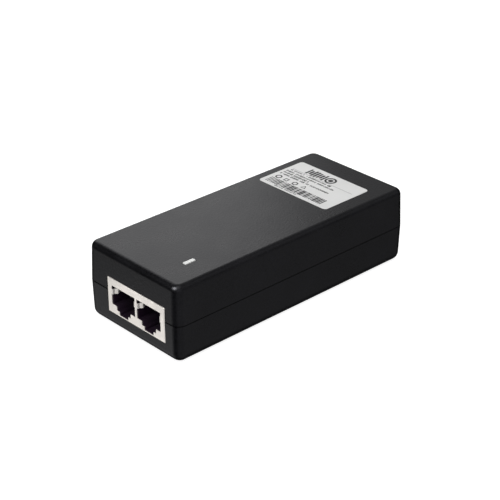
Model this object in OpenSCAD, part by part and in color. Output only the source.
// Two-port power-over-Ethernet injector: a moulded two-part case with a shielded twin
// modular jack at the front (-Y), a mains inlet at the rear (+Y) and a switch-mode supply inside.
// Millimetres. Origin: centre of the underside. +Y runs along the case, +Z is up.

/* [Case] */
// Length of the case at the parting line
case_l = 115.8; // [115:0.1:118]
// Width of the case at the parting line
case_w = 50; // [50:0.1:52]
// Height of the closed case
case_h = 30.6; // [30.4:0.1:32]
// Height of the parting line above the underside
seam_z = 15.2; // [14:0.1:16]
// Wall thickness of both shells
wall = 2; // [1.8:0.1:2.2]
// Radius of the upright corners
corner_r = 3.6; // [3.6:0.1:4]
// Radius of the edge round the top face
top_edge_r = 2.4; // [1.5:0.1:3]
// Radius of the edge round the underside
bottom_edge_r = 3.6; // [2:0.1:3.6]
// Inward lean of the upper walls, per unit of height
upper_draft = 0.03; // [0.01:0.005:0.04]
// Inward lean of the lower walls, per unit of height
lower_draft = 0.021; // [0.01:0.005:0.03]
// Chamfer on each shell at the parting line, which makes the seam groove
seam_chamfer = 0.25; // [0.1:0.05:0.4]
// Height of the tongue that stands up inside the seam
tongue_h = 1.4; // [1:0.1:2]
// Thickness of the tongue
tongue_t = 0.9; // [0.7:0.05:1]

/* [Jack] */
// Left side of the shielded jack
jack_left = -13.6; // [-13.7:0.1:-13.5]
// Width of the shield
jack_w = 31.4; // [31.2:0.05:31.6]
// Height of the shield
jack_h = 13.9; // [13.8:0.1:14]
// Depth of the shield behind its face
jack_d = 18.3; // [18:0.1:18.5]
// Underside of the shield above the underside of the case
jack_z = 6.5; // [6.5:0.05:6.6]
// Distance between the centres of the two ports
port_pitch = 13.97; // [13.9:0.01:14]
// Angle of the contact springs below the horizontal, at rest
contact_angle = 24; // [22:1:26]

/* [Board] */
// Top of the circuit board
board_top = 6.4; // [6.3:0.05:6.4]
// Thickness of the circuit board
board_t = 1.6; // [1.2:0.1:1.6]
// Half of the board's width
board_half_w = 22.2; // [21.8:0.1:22.3]
// Front edge of the board
board_front = -55; // [-55.1:0.1:-54]
// Rear edge of the board
board_rear = 33; // [32:0.1:34]

/* [Inlet] */
// Width of the inlet's body
inlet_w = 28; // [27.5:0.1:28.5]
// Height of the inlet's body
inlet_h = 20; // [19.5:0.1:20.5]
// Depth of the inlet's body
inlet_d = 20.85; // [20.5:0.05:21]
// Depth of the socket round the pins
socket_d = 16; // [15:0.5:16]

/* [Light] */
// Place of the status light across the case
light_x = 12.7; // [12:0.1:13]
// Place of the status light along the case
light_y = -41.7; // [-42:0.1:-41]
// Width of the light's lens
lens_w = 1.7; // [1.5:0.1:2.1]
// Length of the light's lens
lens_l = 5; // [4.5:0.1:5.1]
// How far the light stands above the top face
light_proud = 0.3; // [0:0.05:0.5]

/* [Label] */
// Width of the rating label
label_w = 36.2; // [34:0.1:38]
// Length of the rating label along the case
label_l = 24; // [22:0.1:26]
// Middle of the label across the case
label_x = -1.35; // [-2:0.05:0]
// Middle of the label along the case
label_y = 33.85; // [33:0.05:35]

/* [Hidden] */
$fn = 32;

eps = 0.05;                       // overlap that makes cuts clean
gap = 0.1;                        // clearance between fixed pieces
half_w = case_w / 2;
half_l = case_l / 2;
ceiling_z = case_h - wall;

face_y = -half_l + 0.05;          // front face of the jack
rear_y = half_l - 0.05;           // rear face of the inlet
jack_right = jack_left + jack_w;
jack_back = face_y + jack_d;
jack_top = jack_z + jack_h;
jack_x = jack_left + jack_w / 2;
port_xs = [jack_x - port_pitch / 2, jack_x + port_pitch / 2];

sheet_t = 0.3;                    // sheet metal of the shield
contacts = 8;                     // wires in a port
contact_pitch = 1.016;
contact_r = 0.2;                  // radius of a contact wire
bend_r = 0.35;                    // radius of the wire's front bend
bend_y = face_y + 2.85;           // axis of the bend, which is the spring's hinge
bend_z = jack_top - 2.45;
contact_len = 9.6;                // straight part of a contact spring
tail_rows = [jack_back - 1.35, jack_back - 2.85];
peg_y = 7.3;                      // pegs that locate the jack, behind its face

board_bottom = board_top - board_t;
lead_r = 0.3;                     // round tinned lead
lead_hole_r = 0.45;
lead_drop = 1.3;                  // length of a lead below the board

screw_xs = [-18.4, 18.4];         // case screws
screw_ys = [-35.5, 50.5];
screw_r = 1.3;
screw_head_r = 2.3;
post_top = 7;                     // top of the lower screw posts
head_seat = 5;                    // depth of the screw recess
board_screw_points = [[-18.4, -51.8], [18.6, 28.5]];
board_post_points = [[-18.6, 28.5], [20.4, -51.8]];

inlet_z = seam_z;
inlet_front = rear_y - inlet_d;
flange_t = 1.6;
flange_y = half_l - wall - 0.6 - flange_t;
clamp_y = flange_y - gap - 0.8;    // middle of the ribs that hold the flange
socket_floor = rear_y - socket_d;
socket_w = 24.4;
socket_h = 16.4;
socket_chamfer = 4;
pin_w = 2;
pin_h = 4;
tag_end = inlet_front - 4;
line_x = -7;
neutral_x = 7;
phase_z = inlet_z - 2;
earth_z = inlet_z + 2;

wire_r = 0.95;
// routes of the three inlet wires, from the tag to the board
line_route = [[-7, 32.9, 13.2], [-7, 31.8, 13.2], [-7.2, 30.9, 12.6], [-7.6, 30.2, 11],
    [-8, 30, 9], [-8, 30, 7.4]];
neutral_route = [for (p = line_route) [-p[0], p[1], p[2]]];
earth_route = [[0, 32.9, 17.2], [0, 31.8, 17.2], [0, 30.8, 16.6], [0, 30.1, 15], [0, 30, 12],
    [0, 30, 9], [0, 30, 7.4]];

// places of the parts on the board
thermistor_at = [-12.5, 26.2];
varistor_at = [12.5, 26.2];
disc_r = 4.5;
disc_t = 3.6;
disc_z = board_top + 6.3;
fuse_at = [-19.3, 18.6];
fuse_r = 1.8;
fuse_len = 7.4;
fuse_cap_len = 1.6;
fuse_reach = 7.2;                 // from the middle of the fuse to each lead
fuse_z = board_top + 2.4;
x_cap_at = [11.5, 19.6];
x_cap_size = [18, 7.2, 14.5];
filter_at = [-6.6, 17.6];
filter_z = board_top + 10.6;
bridge_at = [11.6, 12];
bridge_size = [14.5, 3.4, 11];
bridge_z = board_top + 1.8;
bulk_at = [-13.3, 3.8];
bulk_r = 8;
bulk_h = 20.8;
transformer_at = [4.8, -4.6];
transformer_z = 15.6;
core_size = [19.2, 25, 7];
leg_w = 7;                        // width of the core's middle leg
yoke_t = 3.2;                     // thickness of the core's outer legs and yokes
transistor_y = 1;
rectifier_y = -24.2;
tab_x = 19.2;                     // face of each power package that lies on its heatsink
package_z = board_top + 2.6;
heatsink_x = 19.6;
heatsink_t = 1.6;
heatsink_z = board_top + 0.6;
heatsink_h = 19;
controller_at = [18.2, -11.8];
y_cap_at = [-18.7, -8];
y_cap_r = 3.7;
y_cap_z = board_top + 5.5;
coupler_at = [-8.4, -8.4];
output_cap_points = [[-15.5, -17], [-15.5, -27.9]];
output_cap_r = 5;
output_cap_h = 19;
inductor_at = [-2.8, -25];
inductor_z = board_top + 4.2;
magnetics_at = [1.6, -36];
magnetics_size = [5, 16, 5.4];
pse_at = [9.6, -26];
chip_capacitor_points = [[4.6, -20.6], [7.6, -18.9], [12.6, -33.6], [-8.4, -34], [-8.4, -36.4],
    [0, 8.8]];
chip_resistor_points = [[10.6, -18.9], [-20.6, -22.4], [14.2, -16.6], [-11.4, -34.6], [4.4, 9.6],
    [-4.4, 28.4], [4.4, 28.4]];

// the points under which a round lead passes through the board, with the height it starts from
lead_points = concat(
    [for (c = [thermistor_at, varistor_at], s = [-2.5, 2.5]) [c[0] + s, c[1], disc_z - 3.95]],
    [for (s = [-7.5, 7.5]) [x_cap_at[0] + s, x_cap_at[1], board_top + gap]],
    [for (a = [-5, 5], b = [-3.6, 3.6]) [filter_at[0] + a, filter_at[1] + b, board_top + gap]],
    [for (s = [-5.7, -1.9, 1.9, 5.7]) [bridge_at[0] + s, bridge_at[1], bridge_z]],
    [for (s = [-3.75, 3.75]) [bulk_at[0] + s, bulk_at[1], board_top + 2 * gap]],
    [for (a = [-8, 8], b = [-8, -4, 0, 4, 8])
        [transformer_at[0] + a, transformer_at[1] + b, board_top + gap]],
    [for (y = [transistor_y, rectifier_y], s = [-2.54, 0, 2.54])
        [tab_x - 2.6, y + s, package_z]],
    [for (s = [-2.5, 2.5]) [y_cap_at[0], y_cap_at[1] + s, y_cap_z - 2.95]],
    [for (a = [-3.4, 3.4], b = [-1.27, 1.27])
        [coupler_at[0] + a, coupler_at[1] + b, board_top + 1.5]],
    [for (c = output_cap_points, s = [-2.5, 2.5]) [c[0], c[1] + s, board_top + 2 * gap]],
    [for (s = [-5.2, 5.2]) [inductor_at[0] + s, inductor_at[1] - 6.4, board_top + gap]]
);
light_lead_points = [[light_x, -38], [light_x, -36.2]];
wire_points = [[-8, 30], [0, 30], [8, 30]];

function upper_inset(z) = upper_draft * (z - seam_z);
function lower_inset(z) = lower_draft * (seam_z - z);
function contact_xs(port) = [for (i = [0 : contacts - 1])
    port_xs[port] + (i - (contacts - 1) / 2) * contact_pitch];

// direction of travel at point i of a route
function heading(route, i) =
    let (a = route[max(i - 1, 0)], b = route[min(i + 1, len(route) - 1)]) (b - a) / norm(b - a);
// eight points of a ring round a route point; across is level and square to the wire
function ring(centre, dir, r, across) =
    [for (k = [0 : 7]) centre + r * (cos(45 * k) * across + sin(45 * k) * cross(across, dir))];

// a solid tube swept through a route that stays close to one upright plane
module swept_wire(route, r) {
    n = len(route);
    rings = [for (i = [0 : n - 1]) ring(route[i], heading(route, i), r, [1, 0, 0])];
    sides = [for (i = [0 : n - 2], k = [0 : 7])
        [8 * i + k, 8 * i + (k + 1) % 8, 8 * i + 8 + (k + 1) % 8, 8 * i + 8 + k]];
    ends = [[for (k = [7 : -1 : 0]) k], [for (k = [0 : 7]) 8 * (n - 1) + k]];
    polyhedron(points = [for (points = rings) for (p = points) p], faces = concat(sides, ends));
}

module at_corners(half_x, half_y) {
    for (sx = [-1, 1], sy = [-1, 1])
        translate([sx * half_x, sy * half_y]) children();
}

module rounded_plate(w, l, r, h) {
    linear_extrude(h) {
        square([w - 2 * r, l], center = true);
        square([w, l - 2 * r], center = true);
        at_corners(w / 2 - r, l / 2 - r) circle(r);
    }
}

module centred_box(size, at) {
    translate([at[0] - size[0] / 2, at[1] - size[1] / 2, at[2]]) cube(size);
}

// the rounded end of an upright corner: radius R in plan, r in section
module corner_ring(R, r) {
    rotate_extrude() intersection() {
        translate([R - r, 0]) circle(r);
        translate([0, -r]) square([R, 2 * r]);
    }
}

// one corner stack: seam disc, disc above the chamfer and the edge ring
module upper_block() {
    ring_z = case_h - top_edge_r;
    hull() {
        translate([0, 0, seam_z]) at_corners(half_w - corner_r, half_l - corner_r)
            cylinder(r = corner_r - seam_chamfer, h = eps);
        translate([0, 0, seam_z + seam_chamfer]) at_corners(half_w - corner_r, half_l - corner_r)
            cylinder(r = corner_r, h = eps);
        translate([0, 0, ring_z])
            at_corners(half_w - corner_r - upper_inset(ring_z), half_l - corner_r - upper_inset(ring_z))
                corner_ring(corner_r, top_edge_r);
    }
}

module lower_block() {
    ring_z = bottom_edge_r;
    hull() {
        translate([0, 0, seam_z - eps]) at_corners(half_w - corner_r, half_l - corner_r)
            cylinder(r = corner_r - seam_chamfer, h = eps);
        translate([0, 0, seam_z - seam_chamfer - eps])
            at_corners(half_w - corner_r, half_l - corner_r) cylinder(r = corner_r, h = eps);
        translate([0, 0, ring_z])
            at_corners(half_w - corner_r - lower_inset(ring_z), half_l - corner_r - lower_inset(ring_z))
                corner_ring(corner_r, bottom_edge_r);
    }
}

// a slab whose outline lies inset inside the case's outline at the parting line
module inner_slab(inset, z0, z1) {
    translate([0, 0, z0])
        rounded_plate(case_w - 2 * inset, case_l - 2 * inset, corner_r - wall, z1 - z0);
}

module upper_hollow() {
    inner_slab(wall + upper_inset(ceiling_z), seam_z - eps, ceiling_z);
}

module lower_hollow() {
    inner_slab(wall + lower_inset(wall), wall, seam_z + eps);
}

// the wall openings for the jack and the inlet, shared by both shells
module front_and_rear_openings() {
    centred_box([jack_w + 2 * gap, 3 * wall, jack_h + 2 * gap], [jack_x, -half_l, jack_z - gap]);
    centred_box([inlet_w + 2 * gap, 3 * wall, inlet_h + 2 * gap],
        [0, half_l, inlet_z - inlet_h / 2 - gap]);
}

module at_screws() {
    for (x = screw_xs, y = screw_ys) translate([x, y]) children();
}

module top_shell() {
    boss_r = 2.6;
    clamp_h = ceiling_z - inlet_z - inlet_h / 2 - gap;
    color([0.13, 0.13, 0.14]) difference() {
        union() {
            difference() {
                upper_block();
                upper_hollow();
                // rebate for the tongue
                inner_slab(wall - tongue_t - gap, seam_z - eps, seam_z + tongue_h + gap);
            }
            at_screws() translate([0, 0, post_top + gap])
                cylinder(r = boss_r, h = ceiling_z - post_top);
            // ribs that hold the inlet's flange from above
            for (s = [-1, 1])
                centred_box([1.6, 1.6, clamp_h + eps], [s * 10, clamp_y, ceiling_z - clamp_h]);
            // rim round the light
            centred_box([4.4, 7.4, 1.6], [light_x, light_y, ceiling_z - 1.5]);
        }
        front_and_rear_openings();
        centred_box([lens_w + 0.2, lens_l + 0.2, 6], [light_x, light_y, case_h - 5]);
        at_screws() translate([0, 0, post_top]) cylinder(r = screw_r + 0.02, h = 13);
    }
}

module bottom_shell() {
    post_r = 3.2;
    board_post_r = 2.4;
    color([0.13, 0.13, 0.14]) difference() {
        union() {
            difference() {
                lower_block();
                lower_hollow();
            }
            // tongue that locates the upper shell
            difference() {
                inner_slab(wall - tongue_t, seam_z - 1, seam_z + tongue_h);
                inner_slab(wall + lower_inset(wall), seam_z - 2, seam_z + tongue_h + eps);
            }
            at_screws() translate([0, 0, wall - eps]) cylinder(r = post_r, h = post_top - wall + eps);
            for (p = concat(board_screw_points, board_post_points))
                translate([p[0], p[1], wall - eps])
                    cylinder(r = board_post_r, h = board_bottom - gap - wall + eps);
            // uprights that hold the inlet's flange against the rear wall
            for (s = [-1, 1]) centred_box([2.6, 1.6, 8.2], [s * 15.4, clamp_y, wall - eps]);
        }
        front_and_rear_openings();
        at_screws() translate([0, 0, -eps]) cylinder(r = screw_head_r + 0.15, h = head_seat + eps);
        at_screws() cylinder(r = screw_r + 0.15, h = post_top + 1);
        for (p = board_screw_points) translate([p[0], p[1], 1.6]) cylinder(r = 1.12, h = 6);
    }
}

module case_screws() {
    color([0.55, 0.55, 0.56]) at_screws() translate([0, 0, head_seat - 1.8]) difference() {
        union() {
            cylinder(r = screw_head_r, h = 1.78);
            cylinder(r = screw_r, h = 13);
        }
        cross_recess(1.1);
    }
}

// cross slot in a screw head, cut upwards from its face
module cross_recess(depth) {
    for (a = [0, 90]) rotate([0, 0, a]) centred_box([2.4, 0.6, depth + eps], [0, 0, -eps]);
}

module rating_label() {
    color([0.9, 0.9, 0.89]) translate([label_x, label_y, case_h + 0.01])
        rounded_plate(label_w, label_l, 1.5, 0.1);
}

module status_light() {
    lens_top = case_h + light_proud;
    color([0.95, 0.96, 0.94]) {
        centred_box([lens_w, lens_l, lens_top - 23.4], [light_x, light_y, 23.4]);
        centred_box([2.5, 5.6, 1.2], [light_x, light_y, 22.6]);
    }
}

module status_light_leads() {
    color([0.8, 0.8, 0.82]) {
        bent_lead(light_y - 1.27, light_lead_points[0][1], 21.15);
        bent_lead(light_y + 1.27, light_lead_points[1][1], 21.95);
    }
}

// a lead that drops from the light, runs back over the jack at run_z and goes down through the board
module bent_lead(from_y, to_y, run_z) {
    r = 0.25;
    translate([light_x, from_y, run_z]) cylinder(r = r, h = 22.59 - run_z);
    translate([light_x, from_y, run_z]) sphere(r);
    translate([light_x, from_y, run_z]) rotate([-90, 0, 0]) cylinder(r = r, h = to_y - from_y);
    translate([light_x, to_y, run_z]) sphere(r);
    translate([light_x, to_y, board_bottom - lead_drop])
        cylinder(r = r, h = run_z - board_bottom + lead_drop);
}

module lead_sleeves() {
    color([0.1, 0.1, 0.1]) for (p = light_lead_points) translate([p[0], p[1], 8.5]) difference() {
        cylinder(r = 0.65, h = 11.5);
        translate([0, 0, -eps]) cylinder(r = 0.32, h = 12);
    }
}

// the stepped mouth of a port, from the jack's face inwards; each step is [width, lowest z],
// with its z and the mouth's top counted from the underside of the shield
module port_mouth(steps, top, depth) {
    for (step = steps) translate([-step[0] / 2, face_y - 1, jack_z + step[1]])
        cube([step[0], depth + 1, top - step[1]]);
}

module jack_shield() {
    color([0.82, 0.8, 0.77]) {
        difference() {
            translate([jack_left, face_y, jack_z]) cube([jack_w, jack_d, jack_h]);
            translate([jack_left + sheet_t, face_y + sheet_t, jack_z - eps])
                cube([jack_w - 2 * sheet_t, jack_d - 2 * sheet_t, jack_h - sheet_t + eps]);
            for (x = port_xs) translate([x, 0, 0])
                port_mouth([[13, 3.3], [7.8, 1.6], [5, 0.2]], 11.1, sheet_t + eps);
        }
        for (x = port_xs, s = [-1, 1]) translate([x, 0, 0]) scale([s, 1, 1]) side_finger();
        // tabs that are soldered into the board
        for (x = [jack_left, jack_right - sheet_t])
            translate([x, face_y + 10.8, board_bottom - 1])
                cube([sheet_t, 2, jack_z - board_bottom + 1 + eps]);
    }
}

// spring finger: a tab in the plane of the face, folded back into the mouth, that leans
// inwards and then back towards the wall
module side_finger() {
    finger_z = jack_z + 7.4;
    finger_h = 2.1;
    outer = [[0.65, 0], [0.65, 0.92], [1.42, 1.93], [0.59, 3.56]];
    inner = [[0.41, 3.47], [1.19, 1.95], [0.45, 1], [0.45, sheet_t]];
    root = [[-0.4, sheet_t], [-0.4, 0]];
    translate([-6.55, face_y, finger_z]) linear_extrude(finger_h)
        polygon(concat(outer, inner, root));
}

module jack_insulator() {
    side = sheet_t + eps;
    cavity_d = 14;
    channel_w = contacts * contact_pitch + 0.6;
    comb_z = jack_z + 6.1;
    color([0.06, 0.06, 0.07]) {
        difference() {
            translate([jack_left + side, face_y + side, jack_z])
                cube([jack_w - 2 * side, jack_d - 2 * side, jack_h - side]);
            for (x = port_xs) translate([x, 0, 0]) {
                port_mouth([[11.8, 3.6], [6.7, 1.9], [4, 0.6]], 10.8, cavity_d);
                // recesses for the side fingers
                translate([-6.6, face_y - 1, jack_z + 7]) cube([13.2, 7, 3.7]);
                // channel for the wires above the cavity and down the back
                translate([-channel_w / 2, face_y + 1.8, jack_z + 10.7])
                    cube([channel_w, tail_rows[0] + 0.45 - face_y - 1.8, 1.7]);
                translate([-channel_w / 2, tail_rows[1] - 0.45, jack_z - eps])
                    cube([channel_w, tail_rows[0] - tail_rows[1] + 0.9, 12.4]);
            }
        }
        // ribs between the wires, deeper at the rear where they form the comb
        for (x = port_xs, i = [0 : contacts])
            translate([x + (i - contacts / 2) * contact_pitch - 0.15, face_y, 0]) {
                translate([0, 3.6, jack_z + 10.9]) cube([0.3, 10.8, 1.9]);
                translate([0, cavity_d - 3.4, comb_z]) cube([0.3, 3.5, 5]);
            }
        // rest under the tips of the wires
        for (x = port_xs) translate([x - 4.6, face_y + cavity_d - 3, comb_z]) cube([9.2, 3.1, 0.7]);
        // pegs that locate the jack in the board
        for (x = port_xs) translate([x, face_y + peg_y, board_bottom])
            cylinder(r = 1.55, h = jack_z - board_bottom + 0.3);
    }
}

// the moving part of one contact: the front bend and the straight spring
module contact_spring(x) {
    start = 115;                          // bend's first and last angles, from +Y towards +Z
    finish = 270 - contact_angle;
    translate([x, bend_y, bend_z]) {
        rotate([90, 0, 90]) rotate([0, 0, start]) rotate_extrude(angle = finish - start)
            translate([bend_r, 0]) circle(contact_r, $fn = 16);
        translate([0, bend_r * cos(finish), bend_r * sin(finish)]) rotate([-90 - contact_angle, 0, 0])
            cylinder(r = contact_r, h = contact_len, $fn = 16);
    }
}

module port_contacts(port) {
    color([0.83, 0.66, 0.3]) for (x = contact_xs(port)) contact_spring(x);
}

module port_1_contacts() port_contacts(0);
module port_2_contacts() port_contacts(1);

// the fixed part of the contacts: along the top of the insulator and down into the board
module port_tails(port) {
    top = bend_z + bend_r;
    color([0.83, 0.66, 0.3]) for (i = [0 : contacts - 1]) {
        x = contact_xs(port)[i];
        back = tail_rows[i % 2];
        translate([x, bend_y, top]) rotate([-90, 0, 0])
            cylinder(r = contact_r, h = back - bend_y, $fn = 16);
        translate([x, back, top]) sphere(contact_r, $fn = 16);
        translate([x, back, board_bottom - 1])
            cylinder(r = contact_r, h = top - board_bottom + 1, $fn = 16);
    }
}

module port_1_tails() port_tails(0);
module port_2_tails() port_tails(1);

module main_board() {
    color([0.16, 0.36, 0.2]) translate([0, 0, board_bottom]) difference() {
        translate([-board_half_w, board_front, 0])
            cube([2 * board_half_w, board_rear - board_front, board_t]);
        translate([0, 0, -eps]) {
            for (p = concat(lead_points, light_lead_points, wire_points))
                translate([p[0], p[1]]) cylinder(r = lead_hole_r, h = 2 * board_t);
            for (port = [0, 1], i = [0 : contacts - 1]) translate([contact_xs(port)[i], tail_rows[i % 2]])
                cylinder(r = 0.3, h = 2 * board_t);
            for (x = port_xs) translate([x, face_y + peg_y]) cylinder(r = 1.65, h = 2 * board_t);
            for (x = [jack_left, jack_right - sheet_t])
                translate([x - 0.2, face_y + 10.6]) cube([sheet_t + 0.4, 2.4, 2 * board_t]);
            for (y = [-1, 1]) translate([fuse_at[0], fuse_at[1] + y * fuse_reach])
                cylinder(r = lead_hole_r, h = 2 * board_t);
            for (p = board_screw_points) translate(p) cylinder(r = 1.5, h = 2 * board_t);
            // notches round the front screw posts
            for (x = screw_xs) translate([x, screw_ys[0]]) {
                cylinder(r = 3.6, h = 2 * board_t);
                centred_box([7.2, 7.2, 2 * board_t], [sign(x) * 3.6, 0, 0]);
            }
        }
    }
}

module board_screws() {
    color([0.75, 0.75, 0.77]) for (p = board_screw_points) translate([p[0], p[1], 0]) {
        difference() {
            translate([0, 0, board_top + 0.02]) cylinder(r = 2.2, h = 1.6);
            translate([0, 0, board_top + 1.62]) mirror([0, 0, 1]) cross_recess(0.9);
        }
        translate([0, 0, 1.8]) cylinder(r = 1.1, h = board_top - 1.7);
    }
}

module insulation_sheet() {
    color([0.93, 0.9, 0.75]) centred_box([43, 54, 0.3], [0, -3.5, wall + gap]);
}

module inlet_outline(w, h, chamfer) {
    polygon([[-w / 2, -h / 2], [w / 2, -h / 2], [w / 2, h / 2 - chamfer], [w / 2 - chamfer, h / 2],
        [-w / 2 + chamfer, h / 2], [-w / 2, h / 2 - chamfer]]);
}

// extrudes a shape drawn in the rear view from y0 to y1
module along_y(y0, y1, z) {
    translate([0, y1, z]) rotate([90, 0, 0]) linear_extrude(y1 - y0) children();
}

module inlet_body() {
    color([0.07, 0.07, 0.08]) difference() {
        union() {
            along_y(inlet_front, rear_y, inlet_z) square([inlet_w, inlet_h], center = true);
            along_y(flange_y, flange_y + flange_t, inlet_z)
                square([inlet_w + 3, inlet_h + 2.4], center = true);
        }
        along_y(socket_floor, rear_y + 1, inlet_z) inlet_outline(socket_w, socket_h, socket_chamfer);
        for (p = [[line_x, phase_z], [neutral_x, phase_z], [0, earth_z]])
            along_y(inlet_front - 1, rear_y, 0)
                translate(p) square([pin_w + 0.06, pin_h + 0.06], center = true);
    }
}

// one blade with its rounded nose and the solder tag behind
module inlet_pin(x, z, nose_y) {
    nose = 0.6;
    color([0.8, 0.78, 0.72]) {
        centred_box([pin_w, nose_y - nose - inlet_front + 0.5, pin_h],
            [x, (nose_y - nose + inlet_front - 0.5) / 2, z - pin_h / 2]);
        centred_box([pin_w - 2 * nose, nose + eps, pin_h - 2 * nose],
            [x, nose_y - nose / 2 - eps / 2, z - pin_h / 2 + nose]);
        centred_box([0.8, inlet_front - tag_end, pin_h - 0.4],
            [x, (inlet_front + tag_end) / 2, z - pin_h / 2 + 0.2]);
    }
}

module line_pin() inlet_pin(line_x, phase_z, rear_y - 3.4);
module neutral_pin() inlet_pin(neutral_x, phase_z, rear_y - 3.4);
module earth_pin() inlet_pin(0, earth_z, rear_y - 1.4);

module line_wire() color([0.4, 0.22, 0.12]) inlet_wire(line_route);
module neutral_wire() color([0.1, 0.3, 0.65]) inlet_wire(neutral_route);
module earth_wire() color([0.45, 0.6, 0.15]) inlet_wire(earth_route);

// an insulated wire that is soldered to the end of its tag, with its bare end through the board
module inlet_wire(route) {
    last = route[len(route) - 1];
    swept_wire(route, wire_r);
    translate([last[0], last[1], board_bottom - lead_drop])
        cylinder(r = 0.4, h = last[2] - board_bottom + lead_drop);
}

module tag_sleeves() {
    color([0.12, 0.12, 0.13]) for (p = [[line_x, phase_z], [neutral_x, phase_z], [0, earth_z]])
        along_y(tag_end - 1.4, inlet_front - 0.6, p[1]) translate([p[0], 0]) difference() {
            square([2.8, 5], center = true);
            square([2, 4], center = true);
        }
}

module fuse_tube() {
    color([0.8, 0.75, 0.62]) translate([fuse_at[0], fuse_at[1] - fuse_len / 2, fuse_z])
        rotate([-90, 0, 0]) cylinder(r = fuse_r - 0.15, h = fuse_len);
}

module fuse_caps() {
    end = fuse_len / 2;
    color([0.8, 0.8, 0.82]) for (s = [-1, 1])
        translate([fuse_at[0], fuse_at[1], fuse_z]) scale([1, s, 1]) {
            translate([0, end + 0.02, 0]) rotate([-90, 0, 0]) cylinder(r = fuse_r, h = fuse_cap_len);
            translate([0, end + 1, 0]) rotate([-90, 0, 0])
                cylinder(r = lead_r, h = fuse_reach - end - 1);
            translate([0, fuse_reach, 0]) sphere(lead_r);
            translate([0, fuse_reach, board_bottom - lead_drop - fuse_z])
                cylinder(r = lead_r, h = fuse_z - board_bottom + lead_drop);
        }
}

// a coated disc that stands on its edge, turned about the upright axis from facing front and rear
module standing_disc(at, z, r, t, turn = 0) {
    translate([at[0], at[1], z]) rotate([0, 0, turn]) rotate([90, 0, 0]) translate([0, 0, -t / 2]) {
        cylinder(r = r - 0.5, h = t);
        translate([0, 0, 0.5]) cylinder(r = r, h = t - 1);
    }
}

module inrush_thermistor() {
    color([0.12, 0.16, 0.13]) standing_disc(thermistor_at, disc_z, disc_r, disc_t);
}

module varistor() {
    color([0.12, 0.28, 0.62]) standing_disc(varistor_at, disc_z, disc_r, disc_t);
}

module x_capacitor() {
    color([0.85, 0.72, 0.15]) centred_box(x_cap_size, [x_cap_at[0], x_cap_at[1], board_top + gap]);
}

module at_filter() {
    translate([filter_at[0], filter_at[1], filter_z]) rotate([90, 0, 0]) children();
}

module filter_core() {
    color([0.2, 0.4, 0.25]) at_filter() ring_section(3.8, 7.4, 6.6, 360);
}

// a ring of rectangular section, or a sector of one that is centred on +X
module ring_section(inner, outer, width, angle) {
    rotate([0, 0, -angle / 2]) rotate_extrude(angle = angle)
        translate([inner, -width / 2]) square([outer - inner, width]);
}

module filter_windings() {
    sector = 124;
    color([0.72, 0.4, 0.2]) at_filter() for (a = [0, 180]) rotate([0, 0, a]) difference() {
        ring_section(2.7, 8.5, 8.8, sector);
        ring_section(3.75, 7.45, 6.7, 360);
    }
}

module filter_base() {
    color([0.1, 0.1, 0.1]) {
        centred_box([14, 10, 1.4], [filter_at[0], filter_at[1], board_top + gap]);
        for (s = [-1, 1])
            centred_box([3, 1, 4.4], [filter_at[0], filter_at[1] + s * 4, board_top + 1.4]);
    }
}

module bridge_rectifier() {
    color([0.1, 0.1, 0.1]) centred_box(bridge_size, [bridge_at[0], bridge_at[1], bridge_z]);
}

// an upright can with a crimp groove near its foot
module electrolytic(r, h) {
    side = [[r - 0.5, 0], [r, 0.5], [r, 1.8], [r - 0.5, 2.3], [r, 2.8], [r, h - 0.6], [r - 0.6, h]];
    color([0.1, 0.12, 0.16]) rotate_extrude() polygon(concat([[0, 0]], side, [[0, h]]));
}

module bulk_capacitor() {
    translate([bulk_at[0], bulk_at[1], board_top + 2 * gap]) electrolytic(bulk_r, bulk_h);
}

module at_transformer() {
    translate([transformer_at[0], transformer_at[1], transformer_z]) children();
}

module transformer_core() {
    window = [core_size[0] - 2 * yoke_t, (core_size[1] - 2 * yoke_t - leg_w) / 2, core_size[2] + 1];
    color([0.22, 0.22, 0.24]) at_transformer() difference() {
        cube(core_size, center = true);
        for (s = [-1, 1]) translate([0, s * (leg_w + window[1]) / 2, 0]) cube(window, center = true);
    }
}

module transformer_bobbin() {
    flange_x = core_size[0] / 2 - yoke_t - 0.9;
    rail_h = transformer_z - board_top - gap - 3.7;
    color([0.12, 0.1, 0.1]) at_transformer() {
        difference() {
            union() {
                cube([2 * flange_x + 0.8, leg_w + 1.4, leg_w + 1.4], center = true);
                for (s = [-1, 1])
                    translate([s * (flange_x + 0.4), 0, 0]) cube([0.8, 18, 18], center = true);
            }
            cube([core_size[0], leg_w + 0.2, leg_w + 0.2], center = true);
        }
        for (s = [-1, 1]) translate([s * 7.9 - 1.6, -10, board_top + gap - transformer_z])
            cube([3.2, 20, rail_h - 0.8]);
    }
}

module transformer_winding() {
    length = core_size[0] - 2 * yoke_t - 2;
    color([0.86, 0.74, 0.2]) at_transformer() difference() {
        cube([length, 17.6, 17.2], center = true);
        cube([length + 1, leg_w + 1.5, leg_w + 1.5], center = true);
    }
}

module transformer_tape() {
    color([0.9, 0.78, 0.25]) at_transformer() difference() {
        cube([core_size[0] + 0.6, core_size[1] + 0.6, 5], center = true);
        cube([core_size[0] + 0.1, core_size[1] + 0.1, 6], center = true);
    }
}

// a three-lead power package whose metal tab faces +X
module power_package(y) {
    translate([tab_x, y, package_z]) {
        difference() {
            translate([-1.3, -5, 0]) cube([1.3, 10, 15.4]);
            translate([-2, 0, 12.4]) rotate([0, 90, 0]) cylinder(r = 1.8, h = 3);
        }
        translate([-4.4, -5, 0]) cube([3.2, 10, 9]);
    }
}

module switch_transistor() color([0.13, 0.13, 0.14]) power_package(transistor_y);
module output_rectifier() color([0.13, 0.13, 0.14]) power_package(rectifier_y);

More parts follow.
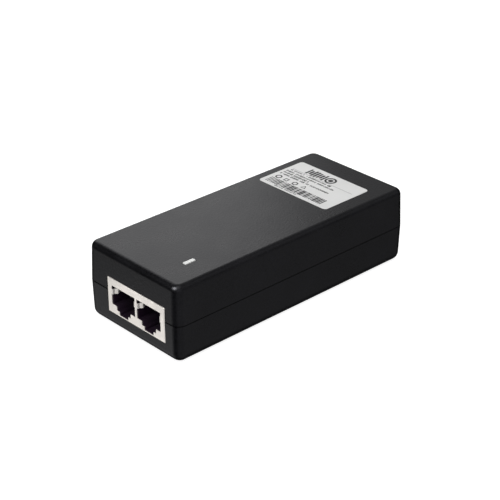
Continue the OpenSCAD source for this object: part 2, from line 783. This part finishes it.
// an extruded plate with three fins towards the side wall, drilled for the package screw
module heatsink(y, length) {
    color([0.72, 0.73, 0.75]) difference() {
        union() {
            translate([heatsink_x, y - length / 2, heatsink_z]) cube([heatsink_t, length, heatsink_h]);
            for (z = [2, 6, 17]) translate([heatsink_x, y - length / 2, heatsink_z + z])
                cube([heatsink_t + 0.9, length, 1]);
        }
        translate([heatsink_x - 1, y, package_z + 12.4]) rotate([0, 90, 0]) cylinder(r = 1.35, h = 5);
    }
}

module primary_heatsink() heatsink(transistor_y, 16);
module secondary_heatsink() heatsink(rectifier_y, 15);

module insulating_pads() {
    color([0.75, 0.77, 0.8]) for (y = [transistor_y, rectifier_y])
        translate([tab_x + 0.05, y - 5.5, package_z - 0.4]) difference() {
            cube([0.3, 11, 16.4]);
            translate([-1, 5.5, 12.8]) rotate([0, 90, 0]) cylinder(r = 1.8, h = 3);
        }
}

module heatsink_screws() {
    color([0.8, 0.8, 0.8]) for (y = [transistor_y, rectifier_y])
        translate([tab_x - 1.35, y, package_z + 12.4]) rotate([0, 90, 0]) difference() {
            union() {
                translate([0, 0, -1.8]) cylinder(r = 2.5, h = 1.8);
                cylinder(r = 1.3, h = 3.2);
            }
            translate([0, 0, -1.8]) cross_recess(0.9);
        }
}

// a small flat package with rows of bent leads along its two long sides
module flat_package(at, body, count, pitch, turn = 0) {
    foot = 1;
    translate([at[0], at[1], board_top]) rotate([0, 0, turn]) {
        color([0.09, 0.09, 0.1]) centred_box(body, [0, 0, 0.15]);
        color([0.8, 0.8, 0.82]) for (i = [0 : count - 1], s = [-1, 1])
            translate([s * (body[0] / 2 + foot / 2 - 0.05), (i - (count - 1) / 2) * pitch, 0.02])
                centred_box([foot + 0.1, 0.4, 0.5], [0, 0, 0]);
    }
}

module pwm_controller() flat_package(controller_at, [3.9, 4.9, 1.5], 4, 1.27);
module pse_controller() flat_package(pse_at, [5.2, 9.4, 1.8], 10, 0.9);
module lan_magnetics() flat_package(magnetics_at, magnetics_size, 12, 1.27, 90);

module y_capacitor() {
    color([0.15, 0.35, 0.7]) standing_disc(y_cap_at, y_cap_z, y_cap_r, 3.2, 90);
}

module optocoupler() {
    color([0.1, 0.1, 0.1])
        centred_box([6.2, 4.6, 3.4], [coupler_at[0], coupler_at[1], board_top + 0.4]);
}

module output_capacitors() {
    for (p = output_cap_points) translate([p[0], p[1], board_top + 2 * gap])
        electrolytic(output_cap_r, output_cap_h);
}

module at_inductor() {
    translate([inductor_at[0], inductor_at[1], inductor_z]) rotate([0, 0, 90]) children();
}

module inductor_core() {
    color([0.75, 0.72, 0.3]) at_inductor() ring_section(3, 6.2, 5, 360);
}

module inductor_winding() {
    color([0.75, 0.42, 0.2]) at_inductor() difference() {
        ring_section(2, 7.2, 7, 300);
        ring_section(2.95, 6.25, 5.1, 360);
    }
}

// chips soldered flat on the board, h high
module chips(points, h) {
    for (p = points) centred_box([1.25, 2, h], [p[0], p[1], board_top + 0.02]);
}

module chip_capacitors() color([0.7, 0.6, 0.45]) chips(chip_capacitor_points, 1.2);
module chip_resistors() color([0.12, 0.12, 0.13]) chips(chip_resistor_points, 0.5);

module component_leads() {
    color([0.8, 0.8, 0.82]) for (p = lead_points) translate([p[0], p[1], board_bottom - lead_drop])
        cylinder(r = lead_r, h = p[2] - board_bottom + lead_drop);
}

top_shell();
bottom_shell();
case_screws();
rating_label();
status_light();
status_light_leads();
lead_sleeves();
jack_shield();
jack_insulator();
port_1_contacts();
port_2_contacts();
port_1_tails();
port_2_tails();
main_board();
board_screws();
insulation_sheet();
inlet_body();
line_pin();
neutral_pin();
earth_pin();
line_wire();
neutral_wire();
earth_wire();
tag_sleeves();
fuse_tube();
fuse_caps();
inrush_thermistor();
varistor();
x_capacitor();
filter_core();
filter_windings();
filter_base();
bridge_rectifier();
bulk_capacitor();
transformer_core();
transformer_bobbin();
transformer_winding();
transformer_tape();
switch_transistor();
primary_heatsink();
output_rectifier();
secondary_heatsink();
insulating_pads();
heatsink_screws();
pwm_controller();
y_capacitor();
optocoupler();
output_capacitors();
inductor_core();
inductor_winding();
lan_magnetics();
pse_controller();
chip_capacitors();
chip_resistors();
component_leads();
